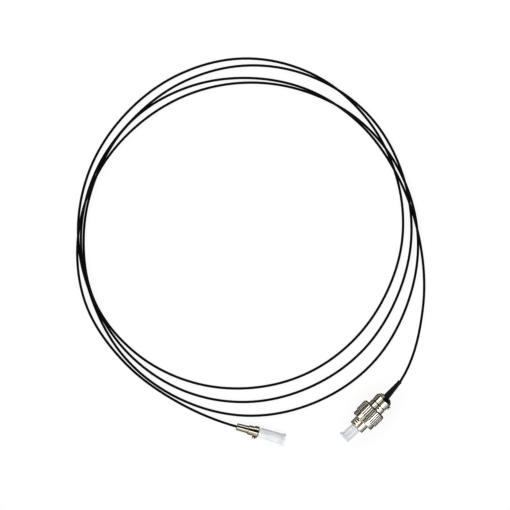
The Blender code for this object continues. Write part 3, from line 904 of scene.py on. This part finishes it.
first_front = -SECOND_RING - RING_GROOVE
first_rear = first_front - FIRST_RING
tail_rear = first_rear - TAIL_LENGTH
seat = FERRULE_RADIUS + PRESS_GAP
tail_bore = CORD_RADIUS + TAIL_CLEARANCE
flange = turned(
    "ferrule_flange_turned",
    (
        (0.0, -BARE_SEAT - SEAT_GAP),
        (seat, -BARE_SEAT - SEAT_GAP),
        (seat, -RING_EDGE),
        (seat + RING_EDGE, 0.0),
        (SECOND_RING_RADIUS - RING_EDGE, 0.0),
        (SECOND_RING_RADIUS, -RING_EDGE),
        (SECOND_RING_RADIUS, -SECOND_RING),
        (GROOVE_RADIUS, -SECOND_RING),
        (GROOVE_RADIUS, first_front),
        (FIRST_RING_RADIUS, first_front),
        (FIRST_RING_RADIUS, first_rear + RING_EDGE),
        (FIRST_RING_RADIUS - RING_EDGE, first_rear),
        (TAIL_FRONT_RADIUS, first_rear),
        (TAIL_REAR_RADIUS, tail_rear + RING_EDGE),
        (TAIL_REAR_RADIUS - RING_EDGE, tail_rear),
        (tail_bore, tail_rear),
        (tail_bore, tail_rear + TAIL_BORE_DEPTH),
        (0.0, tail_rear + TAIL_BORE_DEPTH),
    ),
    0.0,
)

# A keyway runs through the second ring, a little to one side of its top.
KEYWAY_ANGLE = 78.0
KEYWAY_WIDTH = 0.0006
KEYWAY_DEPTH = 0.00045

bpy.ops.object.select_all(action="DESELECT")
bpy.ops.mesh.primitive_cube_add(size=1.0, location=(SECOND_RING_RADIUS, 0.0, -SECOND_RING / 2))
cutter = bpy.context.object
cutter.scale = (2 * KEYWAY_DEPTH, KEYWAY_WIDTH, SECOND_RING + RING_GROOVE)
bpy.ops.object.transform_apply(location=True, rotation=True, scale=True)
cutter.rotation_euler = (0.0, 0.0, math.radians(KEYWAY_ANGLE))
cut_out(flange, cutter)
rounded(flange, EDGE_BREAK, least_angle=40.0)
set_down(flange, flange_front, FERRULE_HEADING)
flange_metal = plated(
    "nickel_plated_flange_brass",
    flange_front,
    FERRULE_HEADING,
    dull=0.05,
    dark="#E0DDD6",
    light="#F4F2ED",
    film="#B9B5AD",
)
flange.data.materials.append(flange_metal)
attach(flange, "cord_and_housings")
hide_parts("ferrule_flange")

# The lug stands as two little blocks, one on the ring and one at its rear edge.
LUG_BLOCKS = ((-0.00090, 0.00075), (-0.00172, 0.00050))
for i, (middle, length) in enumerate(LUG_BLOCKS):
    bpy.ops.object.select_all(action="DESELECT")
    bpy.ops.mesh.primitive_cube_add(size=1.0, location=(-SECOND_RING_RADIUS, 0.0, middle))
    lug = bpy.context.object
    lug.name = f"flange_lug_{i}"
    lug.data.name = lug.name
    lug.scale = (2 * LUG_HEIGHT, LUG_WIDTH, length)
    bpy.ops.object.transform_apply(location=True, rotation=True, scale=True)
    rounded(lug, LUG_ROUNDING)
    set_down(lug, flange_front, FERRULE_HEADING)
    lug.data.materials.append(flange_metal)
    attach(lug, "cord_and_housings")


# Dust caps
# Two moulded caps of uncoloured polythene, pushed over the ferrules to keep their ends clean. Each
# is a slightly coned tube with a shut end, and a lip to one side to pull it off by.
CAP_LENGTH = 0.0101
CAP_MOUTH_RADIUS = 0.00195
CAP_END_RADIUS = 0.00215
CAP_LIP_RADIUS = 0.00245
CAP_LIP_OFFSET = 0.0004
CAP_LIP_LENGTH = 0.0007
CAP_END_WALL = 0.0007
CAP_PLAY = 0.0002
CAP_EDGE = 0.0001
CAP_ROUNDING = 0.00007
MOUTH_EDGE = (0.00012, 0.0003)
FLARE_START = 2.4
FLARE_END = 0.6
FLARE_SHARES = (1.0, 0.8, 0.6, 0.4, 0.2, 0.0)
CONNECTOR_CAP_TILT = -2.5
BARE_CAP_TILT = -2.0
CONNECTOR_CAP_PIVOT = 0.0020
CAP_BEYOND_SHELL = 0.0063

for name, node, pivot, way, tip, lip_angle, rides in (
    (
        "connector_cap_moulded",
        "connector_cap",
        nut_front + heading(CONNECTOR_HEADING) * CONNECTOR_CAP_PIVOT,
        CONNECTOR_HEADING + CONNECTOR_CAP_TILT,
        SHELL_REACH + CAP_BEYOND_SHELL - CONNECTOR_CAP_PIVOT,
        180.0,
        "connector_dust_cap",
    ),
    (
        "bare_ferrule_cap_moulded",
        "bare_ferrule_cap",
        flange_front + heading(FERRULE_HEADING) * BARE_REACH / 2,
        FERRULE_HEADING + BARE_CAP_TILT,
        CAP_LENGTH + SEAT_GAP - BARE_REACH / 2,
        90.0,
        "bare_ferrule_dust_cap",
    ),
):
    bore = FERRULE_RADIUS + CAP_PLAY
    lip_rear = tip - CAP_LIP_LENGTH * FLARE_START
    lip_front = tip - CAP_LIP_LENGTH * FLARE_END
    flare = []
    for share in FLARE_SHARES:
        spread = (CAP_LIP_RADIUS - CAP_END_RADIUS) * eased(share)
        flare.append((CAP_END_RADIUS + spread, lip_rear + (lip_front - lip_rear) * share))
    cap = turned(
        name,
        (
            (0.0, tip),
            (CAP_LIP_RADIUS - CAP_EDGE, tip),
            (CAP_LIP_RADIUS, tip - CAP_EDGE),
            *flare,
            (CAP_MOUTH_RADIUS, tip - CAP_LENGTH),
            (bore + MOUTH_EDGE[0], tip - CAP_LENGTH),
            (bore, tip - CAP_LENGTH + MOUTH_EDGE[1]),
            (bore, tip - CAP_END_WALL),
            (0.0, tip - CAP_END_WALL),
        ),
        0.0,
    )
    # The flared end is pulled sideways, which makes the lip. The bore stays straight.
    away = math.radians(lip_angle)
    for vertex in cap.data.vertices:
        if math.hypot(vertex.co.x, vertex.co.y) > bore + CAP_EDGE and vertex.co.z > lip_rear:
            pull = CAP_LIP_OFFSET * eased((vertex.co.z - lip_rear) / (lip_front - lip_rear))
            vertex.co.x += pull * math.cos(away)
            vertex.co.y += pull * math.sin(away)
    rounded(cap, CAP_ROUNDING, least_angle=40.0)
    set_down(cap, pivot, way)

    # Moulded low-density polythene: milky and translucent, waxy, with slow clouds and waves of about
    # 4 mm in its wall.
    waxy = bpy.data.materials.new(name + "_polythene")
    waxy.use_nodes = True
    shader = waxy.node_tree.nodes["Principled BSDF"]
    shader.inputs["IOR"].default_value = 1.51
    shader.inputs["Transmission Weight"].default_value = 0.04
    shader.inputs["Subsurface Weight"].default_value = 0.15
    shader.inputs["Subsurface Radius"].default_value = (0.0010, 0.0010, 0.0011)
    shader.inputs["Subsurface Scale"].default_value = 1.0
    along = lengthwise(waxy, pivot, way)
    clouds = add_node(waxy, "ShaderNodeTexNoise", {"Vector": along, "Scale": 260.0, "Detail": 0.0})
    tint = add_node(waxy, "ShaderNodeValToRGB", {"Fac": clouds.outputs["Fac"]})
    tint.color_ramp.elements[0].position = 0.3
    tint.color_ramp.elements[0].color = linear("#CBCED2")
    tint.color_ramp.elements[1].position = 0.7
    tint.color_ramp.elements[1].color = linear("#D4D7DA")
    gloss = add_node(
        waxy,
        "ShaderNodeMapRange",
        {"Value": clouds.outputs["Fac"], "From Min": 0.3, "From Max": 0.7, "To Min": 0.12, "To Max": 0.17},
    )
    waves = add_node(
        waxy, "ShaderNodeBump", {"Height": clouds.outputs["Fac"], "Strength": 0.2, "Distance": 0.00005}
    )
    waxy.node_tree.links.new(tint.outputs["Color"], shader.inputs["Base Color"])
    waxy.node_tree.links.new(gloss.outputs["Result"], shader.inputs["Roughness"])
    waxy.node_tree.links.new(waves.outputs["Normal"], shader.inputs["Normal"])
    cap.data.materials.append(waxy)
    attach(cap, rides)
    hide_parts(node)


# Floor and light
# The cord lies on a pale sheet on a light table, which keeps its shadows faint, among five soft lamps.
# The studio's walls are pale, and the plated parts mirror the dark gaps between them.
FLOOR_SIZE = 3.0
FLOOR_BELOW = 0.0001
SHEET_GLOW = 0.878
STUDIO_BRIGHTNESS = 1.6
VIEW_GAMMA = 0.7

bpy.ops.object.select_all(action="DESELECT")
bpy.ops.mesh.primitive_plane_add(size=FLOOR_SIZE, location=(0.0, 0.0, -FLOOR_BELOW))
floor = bpy.context.object
floor.name = "floor"
bpy.ops.object.transform_apply(location=True, rotation=True, scale=True)
paper = bpy.data.materials.new("white_paper_sheet")
paper.use_nodes = True
shader = paper.node_tree.nodes["Principled BSDF"]
shader.inputs["Base Color"].default_value = linear("#5A5A5A")
shader.inputs["Roughness"].default_value = 0.9
shader.inputs["Specular IOR Level"].default_value = 0.0
shader.inputs["Emission Color"].default_value = linear("#FFFFFF")
shader.inputs["Emission Strength"].default_value = SHEET_GLOW
floor.data.materials.append(paper)

for name, place, size, watts, tint in (
    ("lamp_right", (0.55, -0.55, 0.70), 0.40, 1.8, "#F6F9FF"),
    ("lamp_low", (-0.12, -0.45, 0.93), 0.30, 0.6, "#F6F9FF"),
    ("lamp_left", (-0.60, 0.60, 0.75), 0.5, 1.2, "#FFF6E8"),
    ("lamp_back", (-0.22, 0.62, 0.66), 0.50, 2.0, "#FFFFFF"),
    ("lamp_top", (0.25, 0.88, 0.52), 0.35, 1.2, "#F6F9FF"),
):
    lamp = bpy.data.objects.new(name, bpy.data.lights.new(name, "AREA"))
    bpy.context.scene.collection.objects.link(lamp)
    lamp.data.shape = "SQUARE"
    lamp.data.size = size
    lamp.data.energy = watts
    lamp.data.color = linear(tint)[:3]
    lamp.location = place
    lamp.rotation_euler = (Vector((0.0, 0.0, 0.0)) - Vector(place)).to_track_quat("-Z", "Y").to_euler()


def shades(way, stops):
    """A colour ramp across the world along a direction, from stops of (value from -1 to 1, colour)."""
    along = add_node(
        world, "ShaderNodeVectorMath", {0: sky.outputs["Generated"], 1: way}, operation="DOT_PRODUCT"
    )
    halved = add_node(
        world, "ShaderNodeMapRange", {"Value": along.outputs["Value"], "From Min": -1.0, "From Max": 1.0}
    )
    ramp = add_node(world, "ShaderNodeValToRGB", {"Fac": halved.outputs["Result"]})
    while len(ramp.color_ramp.elements) < len(stops):
        ramp.color_ramp.elements.new(0.5)
    for element, (value, colour) in zip(ramp.color_ramp.elements, stops):
        element.position = (value + 1.0) / 2
        element.color = linear(colour)
    return ramp.outputs["Color"]


def mixed_by(kind, one, other):
    """Two of the world's ramps, multiplied, or the lighter of the two."""
    mixed = add_node(world, "ShaderNodeMix", {}, data_type="RGBA", blend_type=kind)
    mixed.inputs[0].default_value = 1.0
    world.node_tree.links.new(one, mixed.inputs[6])
    world.node_tree.links.new(other, mixed.inputs[7])
    return mixed.outputs[2]


world = bpy.data.worlds.new("studio")
world.use_nodes = True
sky = add_node(world, "ShaderNodeTexCoord", {})
# white towards the picture's lower edge, creamier towards its upper one
walls = shades(
    (0.0, 1.0, 0.0), ((-0.4, "#FFFFFF"), (-0.05, "#F6F5F3"), (0.25, "#DEDCD8"), (0.7, "#D3D1CA"))
)
# the dark gap overhead, which is only grey on the lower side
gap = shades(
    (0.974, 0.227, 0.0), ((-0.09, "#FFFFFF"), (-0.04, "#24221E"), (0.30, "#1C1A18"), (0.36, "#FFFFFF"))
)
below = shades((0.0, 1.0, 0.0), ((-0.12, "#B4B0A8"), (0.0, "#14130F")))
# the brown corner at the upper left, and the dark doorway at the right
dark_left = shades((-0.707, 0.707, 0.0), ((0.90, "#FFFFFF"), (0.95, "#6E6250")))
dark_right = shades((0.966, 0.259, 0.0), ((0.60, "#FFFFFF"), (0.75, "#2C261E")))
overhead = mixed_by("MULTIPLY", walls, mixed_by("LIGHTEN", gap, below))
sides = mixed_by("MULTIPLY", dark_left, dark_right)
background = world.node_tree.nodes["Background"]
world.node_tree.links.new(mixed_by("MULTIPLY", overhead, sides), background.inputs["Color"])
background.inputs["Strength"].default_value = STUDIO_BRIGHTNESS
bpy.context.scene.world = world

# The view's gamma keeps the thin black cord at its full width, and gives the plating its contrast.
bpy.context.scene.view_settings.view_transform = "Standard"
bpy.context.scene.view_settings.gamma = VIEW_GAMMA
